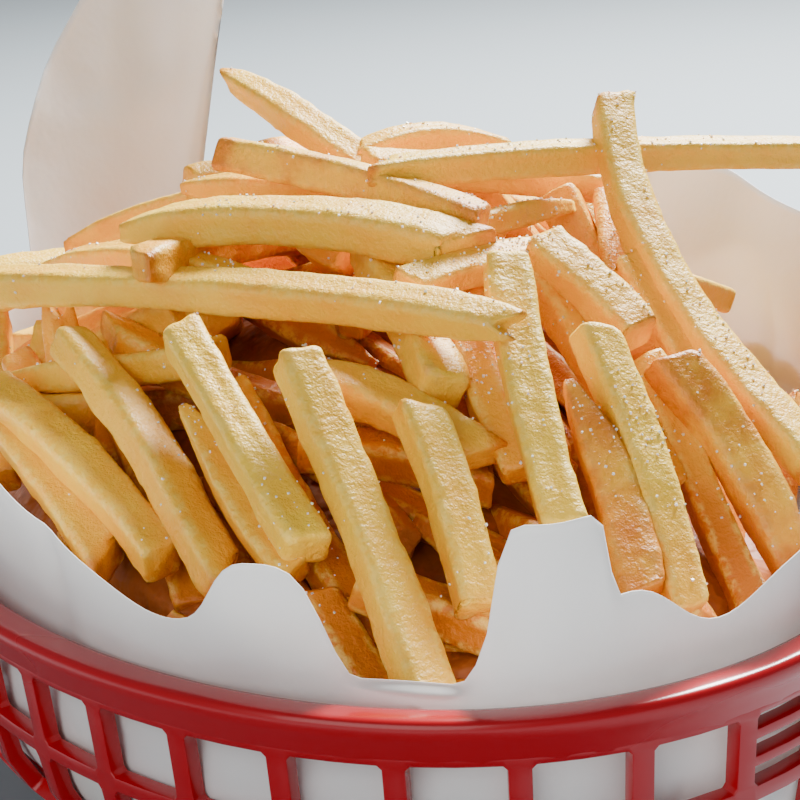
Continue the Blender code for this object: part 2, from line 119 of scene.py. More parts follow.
# Layers laid one by one over the heap's near half: heading and lean beyond the dome's own slope
# (degrees), then the fries.  A fry: azimuth (degrees) and share of the way out on the oval,
# turn off the heading (degrees), depth under the dome, length, width, thickness, rise of the
# bow, side bow (mm), roll (degrees), tone (0 pale, 1 deep orange), browning, shape of the ends
LAYERS = (
    (-80, -14, (
        (-65, 0.85, 5, 6, 52, 6.0, 5.8, 1.0, 0.0, 20, 0.45, 0.2, "cs"),
        (-60, 0.80, 10, 10, 48, 6.6, 6.2, 1.5, 0.5, 10, 0.30, 0.2, "cc"),
        (-50, 0.75, 5, 9, 50, 6.4, 6.0, 1.0, 0.0, -12, 0.40, 0.3, "cs"),
        (-35, 0.80, 10, 6, 30, 5.4, 5.0, -1.0, 0.5, 15, 0.45, 0.3, "pc"),
        (-35, 0.75, 5, 4, 38, 6.4, 6.0, 0.3, -0.3, 8, 0.05, 0.1, "cc"),
        (-20, 0.83, 0, 6, 48, 6.4, 5.8, -1.0, 0.8, -8, 0.20, 0.2, "cc"),
        (-30, 0.72, 5, 14, 38, 5.8, 5.6, 0.0, 0.0, 5, 0.70, 0.3, "cc"),
        (-10, 0.80, -5, 7, 27, 6.4, 5.8, 0.5, 0.5, -6, 0.20, 0.2, "cc"),
        (5, 0.70, -15, 3, 40, 6.6, 6.0, 0.0, -0.8, 4, 0.03, 0.1, "cc"),
        (10, 0.80, -5, 7, 29, 6.8, 5.6, -0.8, 0.6, 12, 0.60, 0.9, "pc"),
        (15, 0.80, -5, 6, 38, 6.0, 5.6, 0.0, 0.6, -5, 0.10, 0.1, "cc"),
        (25, 0.80, 0, 12, 38, 5.4, 5.2, 0.0, 0.5, 10, 0.45, 0.3, "cc"),
        (30, 0.82, 20, 9, 32, 7.8, 6.6, 0.5, 1.0, 18, 0.45, 0.9, "cr"),
        (45, 0.70, 0, -3, 62, 6.6, 6.0, -1.0, -5.5, -4, 0.25, 0.3, "cs"),
        (45, 0.55, -20, 6, 36, 5.8, 5.6, 0.0, 0.0, 10, 0.75, 0.4, "cc"),
        (5, 0.60, 0, 9, 28, 6.2, 5.8, 0.0, 0.0, 10, 0.95, 0.4, "cc"),
        (0, 0.65, -5, 8, 22, 5.6, 5.2, 0.0, 0.0, 10, 0.60, 0.3, "cc"),
        (-85, 0.80, -15, 8, 44, 5.4, 5.2, 0.0, 0.0, 10, 0.40, 0.3, "cc"),
        (-70, 0.75, 0, 12, 38, 6.2, 5.8, 0.0, 0.0, 10, 0.75, 0.4, "cc"),
        (-20, 0.88, 15, 20, 26, 5.8, 5.6, 0.0, 0.0, 10, 0.90, 0.4, "cc"),
        (20, 0.65, 5, 8, 36, 5.6, 5.4, 0.0, 0.4, -8, 0.55, 0.3, "cc"),
        (35, 0.70, 5, 6, 34, 5.6, 5.2, 0.0, 0.4, 12, 0.50, 0.3, "cc"),
    )),
    (-45, -10, (
        (-15, 0.65, 5, 9, 25, 7.0, 6.4, 1.5, 0.0, 20, 0.40, 0.4, "cs"),
        (-15, 0.65, 20, 15, 24, 6.0, 5.6, 1.0, 0.0, 14, 0.70, 0.3, "cc"),
        (-5, 0.78, 0, 18, 24, 6.0, 5.2, 0.5, 0.0, -18, 0.90, 0.5, "pc"),
        (-10, 0.86, 15, 15, 26, 6.2, 5.8, 0.5, 0.0, 6, 0.30, 0.2, "cc"),
        (-10, 0.72, 5, 18, 24, 5.8, 5.6, 0.0, 0.0, 10, 0.90, 0.4, "cc"),
        (-20, 0.62, -15, 9, 22, 5.8, 5.4, 0.0, 0.0, -15, 0.60, 0.7, "rc"),
        (25, 0.58, -15, 2, 19, 6.6, 6.0, 0.6, 0.0, 14, 0.40, 0.3, "cc"),
    )),
    (-45, -5, (
        (-45, 0.55, 0, 3, 86, 6.4, 6.0, 1.8, 0.0, 12, 0.25, 0.3, "cr"),
        (-35, 0.42, 10, 1, 50, 8.4, 6.8, 2.4, 0.8, 6, 0.18, 0.2, "ps"),
        (-60, 0.70, 0, 4, 38, 6.0, 5.6, -0.6, 0.0, -10, 0.35, 0.2, "pc"),
        (-90, 0.65, -15, 1, 52, 5.8, 5.4, 1.0, 0.0, 15, 0.45, 0.3, "cc"),
        (-65, 0.55, -15, 2, 44, 5.0, 4.8, 2.2, 0.0, 5, 0.45, 0.3, "rc"),
        (-20, 0.32, -5, -2, 44, 6.0, 5.6, 0.8, 0.0, -10, 0.30, 0.8, "cc"),
        (-55, 0.28, -5, 1, 32, 5.0, 4.6, 0.5, 0.0, 10, 0.50, 0.5, "pc"),
        (-95, 0.30, 15, 3, 50, 5.8, 5.4, 1.5, 0.0, -12, 0.45, 0.4, "pc"),
    )),
    (-60, -32, (
        (-65, 0.12, 0, -5, 36, 5.4, 5.0, 0.6, 0.0, 15, 0.35, 0.5, "rc"),
    )),
    (5, 22, (
        (55, 0.55, 0, -8, 74, 5.2, 5.0, 1.2, 0.0, 8, 0.15, 0.1, "sc"),
    )),
    (10, 0, (
        (68, 0.65, 25, 9, 22, 5.0, 4.8, 0.0, 0.0, 10, 0.35, 0.2, "cs"),
        (10, 0.50, 10, 1, 27, 5.4, 4.4, 0.6, 0.0, 20, 0.35, 0.3, "cp"),
        (30, 0.40, 20, 2, 23, 4.8, 4.2, 0.5, 0.0, -14, 0.35, 0.3, "cp"),
        (45, 0.28, -15, 2, 34, 5.4, 5.0, 0.5, 0.0, 10, 0.30, 0.2, "cc"),
        (45, 0.18, 0, 0, 25, 4.6, 4.4, 2.5, 0.0, 8, 0.35, 0.2, "cc"),
        (120, 0.05, 0, 2, 58, 5.6, 5.4, 1.5, 0.0, 12, 0.40, 0.3, "cc"),
        (-10, 0.53, 80, 4, 36, 7.0, 6.4, 0.5, 0.0, 12, 0.08, 0.3, "cc"),
    )),
)

# kinds of grain: how many, size from and to (mm)
SALT_GRAINS = (2600, 0.12, 0.30)


# Geometry of the oval ------------------------------------------------------------------------
ARC_ANGLES = np.linspace(0.0, 2.0 * math.pi, 7201)
ARC_STEPS = np.hypot(np.diff(RIM_HALF_WIDTH * np.sin(ARC_ANGLES)),
                     np.diff(RIM_HALF_LENGTH * np.cos(ARC_ANGLES)))
ARC_LENGTHS = np.concatenate([[0.0], np.cumsum(ARC_STEPS)])
PERIMETER = float(ARC_LENGTHS[-1])
PITCH = PERIMETER / RIBS

KNEE_ANGLES = np.linspace(0.0, math.pi / 2.0, 400)
KNEE_STEPS = np.hypot(np.diff(KNEE_RUN * (1.0 - np.cos(KNEE_ANGLES))),
                      np.diff((RIM_HEIGHT - KNEE_DEPTH) * np.sin(KNEE_ANGLES)))
KNEE_LENGTHS = np.concatenate([[0.0], np.cumsum(KNEE_STEPS)])
KNEE_LENGTH = float(KNEE_LENGTHS[-1])


def azimuth(s):
    """Azimuth at arc s from the -Y end."""
    return np.interp(np.mod(s, PERIMETER), ARC_LENGTHS, ARC_ANGLES)


def oval(a, inset, z):
    """Points at azimuth a on the oval drawn in by inset, at height z."""
    return np.stack([(RIM_HALF_WIDTH - inset) * np.sin(a),
                     -(RIM_HALF_LENGTH - inset) * np.cos(a), z + 0.0 * a], axis=-1)


def run_of_knee(degrees):
    """Distance down the wall from the rim to a place on the rounded part."""
    return KNEE_DEPTH + float(np.interp(math.radians(degrees), KNEE_ANGLES, KNEE_LENGTHS))


def wall(run):
    """Inset, height and inward normal of the wall's outer face, at distance run down it."""
    run = np.asarray(run, dtype=float)
    upper = np.clip(run - BAND_HEIGHT, 0.0, KNEE_DEPTH - BAND_HEIGHT)
    band = np.clip(run, 0.0, BAND_HEIGHT) / BAND_HEIGHT
    k = np.interp(np.clip(run - KNEE_DEPTH, 0.0, KNEE_LENGTH), KNEE_LENGTHS, KNEE_ANGLES)
    flat = np.maximum(run - KNEE_DEPTH - KNEE_LENGTH, 0.0)
    drop = RIM_HEIGHT - KNEE_DEPTH
    inset = BAND_LEAN * band + WALL_LEAN * upper + KNEE_RUN * (1.0 - np.cos(k)) + flat
    z = np.where(run < KNEE_DEPTH, RIM_HEIGHT - run, drop * (1.0 - np.sin(k)))
    nx = drop * np.cos(k)
    nz = KNEE_RUN * np.sin(k) + 0.11 * drop * np.cos(k)
    size = np.hypot(nx, nz)
    return inset, z, nx / size, nz / size


def smooth(low, high, x):
    """Eases from 0 at low to 1 at high."""
    t = np.clip((x - low) / (high - low), 0.0, 1.0)
    return t * t * (3.0 - 2.0 * t)


def lattice(ix, iy, iz, seed):
    """A steady random value, 0 to 1, for each whole-number place."""
    h = (ix * 374761393 + iy * 668265263 + iz * 2147483647 + seed * 1274126177) & 0xFFFFFFFF
    h = ((h ^ (h >> 13)) * 1103515245) & 0xFFFFFFFF
    h = ((h ^ (h >> 16)) * 2246822519) & 0xFFFFFFFF
    return ((h ^ (h >> 15)) & 0xFFFFFF) / float(0xFFFFFF)


def field(points, size, seed):
    """Soft random value from -1 to 1 at each point, with bumps of the given size."""
    p = np.asarray(points, dtype=float) / size
    base = np.floor(p).astype(np.int64)
    f = p - base
    f = f * f * (3.0 - 2.0 * f)
    total = np.zeros(len(p))
    for dx in (0, 1):
        wx = f[:, 0] if dx else 1.0 - f[:, 0]
        for dy in (0, 1):
            wy = f[:, 1] if dy else 1.0 - f[:, 1]
            for dz in (0, 1):
                wz = f[:, 2] if dz else 1.0 - f[:, 2]
                value = lattice(base[:, 0] + dx, base[:, 1] + dy, base[:, 2] + dz, seed)
                total += wx * wy * wz * value
    return total * 2.0 - 1.0


# Blender helpers -----------------------------------------------------------------------------
def only(obj):
    """Make obj the one selected and active object."""
    bpy.ops.object.select_all(action="DESELECT")
    obj.select_set(True)
    bpy.context.view_layer.objects.active = obj


def coords(obj):
    flat = np.empty(len(obj.data.vertices) * 3)
    obj.data.vertices.foreach_get("co", flat)
    return flat.reshape(-1, 3)


def set_coords(obj, points):
    obj.data.vertices.foreach_set("co", np.asarray(points, dtype=float).ravel())
    obj.data.update()


def apply_modifiers(obj):
    only(obj)
    for modifier in list(obj.modifiers):
        bpy.ops.object.modifier_apply(modifier=modifier.name)


def finish_piece(obj, name, material, *nodes):
    """Name the piece, give it its finish and tie it to the frame."""
    obj.name = name
    obj.data.name = name
    obj.data.materials.clear()
    obj.data.materials.append(material)
    only(obj)
    bpy.ops.object.transform_apply(location=True, rotation=True, scale=True)
    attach(obj, "root")
    if nodes:
        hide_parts(*nodes)


def set_attribute(mesh, name, values):
    layer = mesh.attributes.new(name, "FLOAT", "POINT")
    layer.data.foreach_set("value", np.asarray(values, dtype=float))


def mesh_from(name, points, faces):
    mesh = bpy.data.meshes.new(name)
    mesh.from_pydata([tuple(p) for p in points], [], faces)
    mesh.update()
    obj = bpy.data.objects.new(name, mesh)
    bpy.context.scene.collection.objects.link(obj)
    return obj


# Shader maths --------------------------------------------------------------------------------
class Value:
    """A shader socket that can be used in ordinary sums."""

    def __init__(self, graph, socket):
        self.graph = graph
        self.socket = socket

    def maths(self, operation, first, second=None, clamp=False):
        return self.graph.add("ShaderNodeMath", {"operation": operation, "use_clamp": clamp},
                              {0: first, 1: second})

    def __add__(self, other):
        return self.maths("ADD", self, other)

    def __radd__(self, other):
        return self.maths("ADD", other, self)

    def __sub__(self, other):
        return self.maths("SUBTRACT", self, other)

    def __rsub__(self, other):
        return self.maths("SUBTRACT", other, self)

    def __mul__(self, other):
        return self.maths("MULTIPLY", self, other)

    def __rmul__(self, other):
        return self.maths("MULTIPLY", other, self)

    def __truediv__(self, other):
        return self.maths("DIVIDE", self, other)

    def __rtruediv__(self, other):
        return self.maths("DIVIDE", other, self)

    def __neg__(self):
        return self.maths("MULTIPLY", self, -1.0)

    def clipped(self):
        return self.maths("ADD", self, 0.0, clamp=True)

    def eased(self, low, high):
        return self.graph.add("ShaderNodeMapRange", {"interpolation_type": "SMOOTHSTEP"},
                              {"Value": self, "From Min": low, "From Max": high})


class Graph:
    """The node tree of one material."""

    def __init__(self, name):
        self.material = bpy.data.materials.new(name)
        self.material.use_nodes = True
        self.tree = self.material.node_tree
        self.shader = self.tree.nodes["Principled BSDF"]
        place = self.tree.nodes.new("ShaderNodeTexCoord")
        self.place = Value(self, place.outputs["Object"])

    def put(self, socket, value):
        if value is None:
            return
        if isinstance(value, Value):
            self.tree.links.new(value.socket, socket)
        else:
            socket.default_value = value

    def add(self, kind, settings, inputs, output=0):
        node = self.tree.nodes.new(kind)
        for key, value in settings.items():
            setattr(node, key, value)
        for key, value in inputs.items():
            self.put(node.inputs[key], value)
        return Value(self, node.outputs[output])

    def noise(self, size, detail=2.0, roughness=0.5):
        """Noise with bumps of about the given size in metres."""
        return self.add("ShaderNodeTexNoise", {},
                        {"Vector": self.place, "Scale": 1.0 / size, "Detail": detail,
                         "Roughness": roughness})

    def attribute(self, name):
        return self.add("ShaderNodeAttribute", {"attribute_name": name}, {}, "Fac")

    def blend(self, factor, first, second):
        settings = {"data_type": "RGBA", "clamp_factor": True}
        node = self.tree.nodes.new("ShaderNodeMix")
        for key, value in settings.items():
            setattr(node, key, value)
        self.put(node.inputs[0], factor)
        self.put(node.inputs[6], first)
        self.put(node.inputs[7], second)
        return Value(self, node.outputs[2])

    def bump(self, height, distance, strength=1.0, normal=None):
        return self.add("ShaderNodeBump", {},
                        {"Height": height, "Distance": distance, "Strength": strength,
                         "Normal": normal})

    def surface(self, **inputs):
        for key, value in inputs.items():
            self.put(self.shader.inputs[key.replace("_", " ")], value)


def colour(red, green, blue):
    return (red, green, blue, 1.0)


def plastic_material():
    g = Graph("red_plastic")
    cloud = g.noise(0.03)
    g.surface(Base_Color=g.blend(cloud, colour(0.42, 0.0, 0.005), colour(0.48, 0.0, 0.008)),
              Roughness=0.24 + cloud * 0.06, Coat_Weight=0.20, Coat_Roughness=0.06,
              IOR=1.45,
              Normal=g.bump(g.noise(0.012), 0.00012))
    return g.material


def paper_material():
    g = Graph("white_paper")
    fibre = g.noise(0.0012, 3.0)
    cloud = g.noise(0.02)
    tint = g.blend(cloud, colour(0.80, 0.80, 0.80), colour(0.86, 0.86, 0.85))
    oil = g.attribute("oil")
    crease = g.bump(g.noise(0.009, 3.0), 0.0004)
    g.surface(Base_Color=g.blend(oil * 0.25, tint, colour(0.74, 0.66, 0.52)),
              Roughness=0.5 + fibre * 0.1, Subsurface_Weight=0.20, Subsurface_Scale=0.002,
              Subsurface_Radius=(1.0, 1.0, 1.0),
              Normal=g.bump(fibre, 0.00003, 1.0, crease))
    return g.material


def fry_material():
    g = Graph("fried_potato")
    tone = g.attribute("tone")
    edge = g.attribute("edge")
    brown = g.attribute("brown")
    painted_shade = g.attribute("painted_shade")
    patch = g.noise(0.007, 3.0, 0.6)
    speck = g.noise(0.0015, 3.0, 0.65)
    fine = g.noise(0.0006, 2.0, 0.6)
    pale = colour(0.98, 0.61, 0.035)
    gold = colour(0.93, 0.36, 0.001)
    base = g.blend((tone + (patch - 0.5) * 1.1).clipped(), pale, gold)
    # painted shade: the deeper a point lies under the heap's top, the more it turns glowing orange,
    # then dark brown
    base = g.blend((painted_shade * 1.1 + (patch - 0.5) * 0.3).clipped(), base, colour(0.88, 0.28, 0.0))
    base = g.blend(painted_shade.eased(0.45, 1.0) * 0.5, base, colour(0.40, 0.075, 0.0))
    # pale edges: partly their crisp paler skin, partly a painted highlight where they catch the
    # light
    crisp_edge_and_highlight = edge * speck.eased(0.40, 0.62)
    base = g.blend(crisp_edge_and_highlight * 0.65, base, colour(0.97, 0.68, 0.12))
    toast = (brown + (patch - 0.5) * 1.3 + (speck - 0.5) * 0.4).eased(0.46, 1.05)
    base = g.blend(toast * 0.80, base, colour(0.60, 0.15, 0.0))
    blister = g.bump(speck, 0.00024)
    skin = g.bump(fine, 0.00020, 1.0, blister)
    g.surface(Base_Color=base, Roughness=0.36 + fine * 0.22, Subsurface_Weight=0.06,
              Subsurface_Scale=0.0025, Subsurface_Radius=(1.0, 0.50, 0.12),
              Normal=skin)
    return g.material


def core_shade_material():
    g = Graph("heap_inside_shade")
    patch = g.noise(0.006, 3.0)
    # painted shade: the heap's middle is dark brown and orange, standing for the shade between the
    # fries
    g.surface(Base_Color=g.blend(patch, colour(0.24, 0.04, 0.001), colour(0.48, 0.13, 0.004)),
              Roughness=0.6, Normal=g.bump(patch, 0.002))
    return g.material


def salt_material():
    g = Graph("salt_grains")
    g.surface(Base_Color=colour(0.97, 0.93, 0.84), Roughness=0.3, Subsurface_Weight=0.3,
              Subsurface_Scale=0.0006)
    return g.material


# Settings ------------------------------------------------------------------------------------
class BasketSettings(bpy.types.PropertyGroup):
    thickness: bpy.props.FloatProperty(
        name="Wall thickness", description="Thickness of the moulded wall",
        default=2.2 * MM, unit="LENGTH")
    rib_width: bpy.props.FloatProperty(
        name="Rib width", description="Width of an upright rib",
        default=2.8 * MM, unit="LENGTH")
    corner: bpy.props.FloatProperty(
        name="Opening corner", description="Size of the rounding in the corners of openings",
        default=0.55 * MM, unit="LENGTH")
    edge: bpy.props.FloatProperty(
        name="Edge rounding", description="Rounding of the moulded edges",
        default=0.45 * MM, unit="LENGTH")


class PaperSettings(bpy.types.PropertyGroup):
    columns: bpy.props.IntProperty(
        name="Columns", description="Divisions around the oval", default=420)
    rows: bpy.props.IntProperty(
        name="Rows", description="Divisions from the floor to the edge", default=60)
    rise: bpy.props.FloatProperty(
        name="Edge rise", description="Usual height of the paper's edge above the rim",
        default=9.0 * MM, unit="LENGTH")
    thickness: bpy.props.FloatProperty(
        name="Thickness", description="Thickness of the sheet",
        default=0.12 * MM, unit="LENGTH")


class FrySettings(bpy.types.PropertyGroup):
    filler: bpy.props.IntProperty(
        name="Filling fries", description="Fries packed under and beyond the laid ones",
        default=175)
    steps: bpy.props.IntProperty(
        name="Settling steps", description="Steps in which the fries make room for each other",
        default=110)
    seed: bpy.props.IntProperty(
        name="Seed", description="Picks another packing", default=7)
    girth: bpy.props.FloatProperty(
        name="Girth", description="Share of the listed width and thickness", default=0.88)
    blister: bpy.props.FloatProperty(
        name="Blister height", description="Unevenness of the fried skin",
        default=0.22 * MM, unit="LENGTH")


class StageSettings(bpy.types.PropertyGroup):
    lens: bpy.props.FloatProperty(
        name="Lens", description="Focal length of the camera in millimetres", default=108.0)
    tilt: bpy.props.FloatProperty(
        name="Tilt", description="How far the camera looks down",
        default=math.radians(17.0), subtype="ANGLE")
    turn: bpy.props.FloatProperty(
        name="Turn", description="Heading of the view, clockwise from +Y",
        default=math.radians(12.7), subtype="ANGLE")
    roll: bpy.props.FloatProperty(
        name="Roll", description="Lean of the camera", default=math.radians(3.8),
        subtype="ANGLE")


# Basket --------------------------------------------------------------------------------------
def swept_ring(section, columns):
    """A closed ring: the section carried round the oval."""
    bpy.ops.mesh.primitive_circle_add(vertices=columns, radius=1.0)
    ring = bpy.context.object
    start = coords(ring)
    turns = np.arctan2(start[:, 0], -start[:, 1]) % (2.0 * math.pi)
    arc = azimuth(turns / (2.0 * math.pi) * PERIMETER)
    count = len(arc)
    for i, (inset, drop) in enumerate(section):
        if i:
            bpy.ops.object.mode_set(mode="EDIT")
            bpy.ops.mesh.extrude_edges_move()
            bpy.ops.object.mode_set(mode="OBJECT")
        points = coords(ring)
        points[i * count:] = oval(arc, inset * MM, RIM_HEIGHT - drop * MM)
        set_coords(ring, points)
    bpy.ops.object.mode_set(mode="EDIT")
    bpy.ops.mesh.select_all(action="DESELECT")
    bpy.ops.object.mode_set(mode="OBJECT")
    total = len(ring.data.vertices)
    chosen = np.zeros(total, dtype=bool)
    chosen[:count] = True
    chosen[total - count:] = True
    ring.data.vertices.foreach_set("select", chosen)
    edges = np.empty(len(ring.data.edges) * 2, dtype=np.int64)
    ring.data.edges.foreach_get("vertices", edges)
    ends = edges.reshape(-1, 2)
    ring.data.edges.foreach_set("select", chosen[ends[:, 0]] & chosen[ends[:, 1]])
    bpy.ops.object.mode_set(mode="EDIT")
    bpy.ops.mesh.bridge_edge_loops()
    bpy.ops.mesh.select_all(action="SELECT")
    bpy.ops.mesh.normals_make_consistent(inside=False)
    bpy.ops.object.mode_set(mode="OBJECT")
    return ring


def barred(bay):
    return BARRED_FIRST <= bay % (RIBS // 2) < BARRED_FIRST + BARRED_BAYS


def wall_rows(corner):
    """Distances down the wall, each with what lies between it and the next one."""
    first = BAND_HEIGHT
    rows = [(first - 1.0 * MM, "solid"), (first, "first"), (first + corner, "first")]
    rows += [(8.4 * MM, "bar"), (9.7 * MM, "first"), (12.0 * MM, "bar"), (13.3 * MM, "first")]
    rows += [(OPENING_DEPTH - corner, "first"), (OPENING_DEPTH, "solid")]
    low = KNEE_DEPTH
    high = run_of_knee(RING_KNEES[0])
    rows += [(low, "second"), (low + corner, "second"), ((low + high) / 2.0, "second")]
    rows += [(high - corner, "second"), (high, "solid")]
    low = run_of_knee(RING_KNEES[1])
    high = run_of_knee(FOOT_KNEE)
    rows += [(low, "third"), (low + corner, "third")]
    for part in (0.25, 0.5, 0.75):
        rows.append((low + (high - low) * part, "third"))
    rows += [(high - corner, "third"), (high, "solid")]
    foot = KNEE_DEPTH + KNEE_LENGTH
    rows += [((high + foot) / 2.0, "solid"), (foot, "solid")]
    rows += [(foot + FOOT_INSET, "floor"), (foot + FOOT_INSET + SLOT_RUN, "end")]
    return rows


def openwork_wall(settings):
    """The ribbed wall and slotted floor, cut from a flat grid and wrapped round the oval."""
    corner = settings.corner
    rows = wall_rows(corner)
    gap = PITCH - settings.rib_width
    half = settings.rib_width / 2.0
    steps = (-half, half, half + corner, half + gap / 2.0, half + gap - corner)
    across = [(k + RIB_PHASE) * PITCH + step for k in range(RIBS) for step in steps]
    across.append(across[0] + PERIMETER)
    wide = len(across) - 1
    high = len(rows) - 1
    bpy.ops.mesh.primitive_grid_add(x_subdivisions=wide, y_subdivisions=high, size=2.0)
    grid = bpy.context.object
    unit = (coords(grid)[:, :2] + 1.0) / 2.0
    column = np.rint(unit[:, 0] * wide).astype(int)
    row = np.rint(unit[:, 1] * high).astype(int)
    place = {(c, r): i for i, (c, r) in enumerate(zip(column, row))}

    def kind_of(c, r):
        if r < 0 or r >= high:
            return True
        kind = rows[r][1]
        bay, step = divmod(c % wide, len(steps))
        if kind == "solid":
            return True
        if kind == "floor":
            return step == 0 and bay % 2 == 0
        if step == 0:
            return True
        return kind == "bar" and barred(bay)

    bm = bmesh.new()
    bm.from_mesh(grid.data)
    bm.verts.ensure_lookup_table()
    gone = []
    for face in list(bm.faces):
        c = min(column[v.index] for v in face.verts)
        r = min(row[v.index] for v in face.verts)
        if kind_of(c, r):
            continue
        beside = [(dc, dr) for dc in (-1, 1) for dr in (-1, 1)
                  if kind_of(c + dc, r) and kind_of(c, r + dr)]
        tall = rows[r + 1][0] - rows[r][0]
        if len(beside) == 1 and tall <= corner * 1.01:
            dc, dr = beside[0]
            c0 = c if dc < 0 else c + 1
            c1 = c + 1 if dc < 0 else c
            r0 = r if dr < 0 else r + 1
            r1 = r + 1 if dr < 0 else r
            keep = [bm.verts[place[(c0, r0)]], bm.verts[place[(c1, r0)]],
                    bm.verts[place[(c0, r1)]]]
            gone.append((face, keep))
        else:
            gone.append((face, None))
    for face, keep in gone:
        bm.faces.remove(face)
        if keep:
            bm.faces.new(keep)
    bmesh.ops.delete(bm, geom=[v for v in bm.verts if not v.link_faces], context="VERTS")
    kept_column = []
    kept_row = []
    for v in bm.verts:
        kept_column.append(int(round((v.co.x + 1.0) / 2.0 * wide)))
        kept_row.append(int(round((v.co.y + 1.0) / 2.0 * high)))
    bm.to_mesh(grid.data)
    bm.free()
    s = np.array(across)[kept_column]
    run = np.array([r[0] for r in rows])[kept_row]
    inset, z, nx, nz = wall(run)
    set_coords(grid, oval(azimuth(s), inset, z))
    only(grid)
    bpy.ops.object.mode_set(mode="EDIT")
    bpy.ops.mesh.select_all(action="SELECT")
    bpy.ops.mesh.remove_doubles(threshold=0.00005)
    bpy.ops.mesh.normals_make_consistent(inside=False)
    bpy.ops.mesh.select_all(action="DESELECT")
    bpy.ops.object.mode_set(mode="OBJECT")
    close_floor(grid)
    outward = [f for f in grid.data.polygons if f.center.z > 25.0 * MM]
    facing = sum(f.normal.x * f.center.x + f.normal.y * f.center.y for f in outward)
    if facing < 0.0:
        grid.data.flip_normals()
    solid = grid.modifiers.new("thickness", "SOLIDIFY")
    solid.thickness = settings.thickness
    solid.offset = -1.0
    soft = grid.modifiers.new("edges", "BEVEL")
    soft.width = settings.edge
    soft.segments = 2
    soft.angle_limit = math.radians(35.0)
    apply_modifiers(grid)
    return grid


def close_floor(grid):
    """Fill the middle of the floor with the solid plate."""
    inner = RIM_HALF_WIDTH - (wall(KNEE_DEPTH + KNEE_LENGTH)[0] + FOOT_INSET + SLOT_RUN)
    bm = bmesh.new()
    bm.from_mesh(grid.data)
    radius = RIM_HALF_LENGTH - RIM_HALF_WIDTH
    ring = [e for e in bm.edges
            if all(abs(v.co.z) < 1e-5
                   and abs(math.hypot(v.co.x / inner, v.co.y / (inner + radius)) - 1.0) < 0.02
                   for v in e.verts)]
    bmesh.ops.contextual_create(bm, geom=ring)
    bmesh.ops.recalc_face_normals(bm, faces=bm.faces[:])
    bm.to_mesh(grid.data)
    bm.free()


class FRIES_OT_basket(bpy.types.Operator):
    """Build the moulded oval basket"""
    bl_idname = "fries.basket"
    bl_label = "Basket"

    def execute(self, context):
        settings = context.scene.fries_basket
        openwork = openwork_wall(settings)
        rim = swept_ring(RIM_SECTION, 336)
        only(openwork)
        rim.select_set(True)
        bpy.context.view_layer.objects.active = openwork
        bpy.ops.object.join()
        bpy.ops.object.shade_smooth_by_angle(angle=math.radians(38.0))
        finish_piece(openwork, "basket_moulding", plastic_material(), "basket")
        return {"FINISHED"}


# Paper ---------------------------------------------------------------------------------------
def around(s, place):
    """Signed distance along the rim from a place."""
    return (s - place * MM + PERIMETER / 2.0) % PERIMETER - PERIMETER / 2.0


def paper_rise(s, base):
    """Height of the paper's edge above the rim at arc s."""
    rise = base + 0.0 * s
    for place, width, height, steep in PAPER_LOBES:
        away = np.abs(around(s, place)) / (width * MM)
        rise = rise + height * MM * np.exp(-away ** steep)
    for place, before, after, height in PAPER_CORNERS:
        away = around(s, place) / MM
        away = np.where(away < 0.0, -away / before, away / after)
        rise = rise + height * MM * np.clip(1.0 - away, 0.0, 1.0)
    round_trip = 2.0 * math.pi * s / PERIMETER
    rise = rise + 0.5 * MM * np.sin(11.0 * round_trip) * np.sin(4.0 * round_trip)
    return np.clip(rise, 1.2 * MM, PAPER_HIGHEST)


def paper_points(s, v, base):
    """The sheet, from the middle of the floor (v 0) to its edge (v 1)."""
    floor_end = KNEE_DEPTH + KNEE_LENGTH + 34.0 * MM
    rim_at = 0.68
    below = np.clip(1.0 - v / rim_at, 0.0, 1.0)
    run = floor_end * below
    inset, z, nx, nz = wall(run)
    lift = 2.2 * MM + 0.6 * MM
    inset = inset + nx * lift
    z = z + nz * lift
    inset = np.maximum(inset, LIP_WIDTH + 0.7 * MM)
    rise = paper_rise(s, base)
    up = np.clip((v - rim_at) / (1.0 - rim_at), 0.0, 1.0)
    z = z + up * (rise - 0.2 * MM)
    bulge = np.clip((rise - base) / (16.0 * MM), -0.7, 1.0)
    height = np.clip((z - 10.0 * MM) / (30.0 * MM), 0.0, 1.0)
    over = smooth(0.0, 1.0, up)
    trip = 2.0 * math.pi * s / PERIMETER
    wave = np.sin(16.0 * trip + 1.7 * np.sin(3.0 * trip))
    fold = 0.5 + 0.5 * np.sin(11.0 * trip + 1.2 * np.sin(3.0 * trip))
    inset = inset + 1.5 * MM * height * fold * (1.0 - 0.4 * over)
    inset = inset + over * (0.5 * MM * wave - 2.6 * MM * bulge - 0.10 * rise * up)
    tall = smooth(24.0 * MM, 60.0 * MM, rise)
    a = azimuth(s - CORNER_LEAN * tall * np.maximum(z - RIM_HEIGHT, 0.0))
    points = oval(a, inset, z)
    soft = field(points, 13.0 * MM, 3)
    crisp = 1.0 - np.abs(field(points, 21.0 * MM, 9))
    push = (0.7 * soft + 1.0 * (crisp ** 3 - 0.3)) * MM * (0.25 + 0.75 * height)
    push = np.maximum(push, -0.4 * MM * (1.0 - over) - 1.2 * MM * over)
    return oval(a, inset + push, z + 0.35 * push * over)


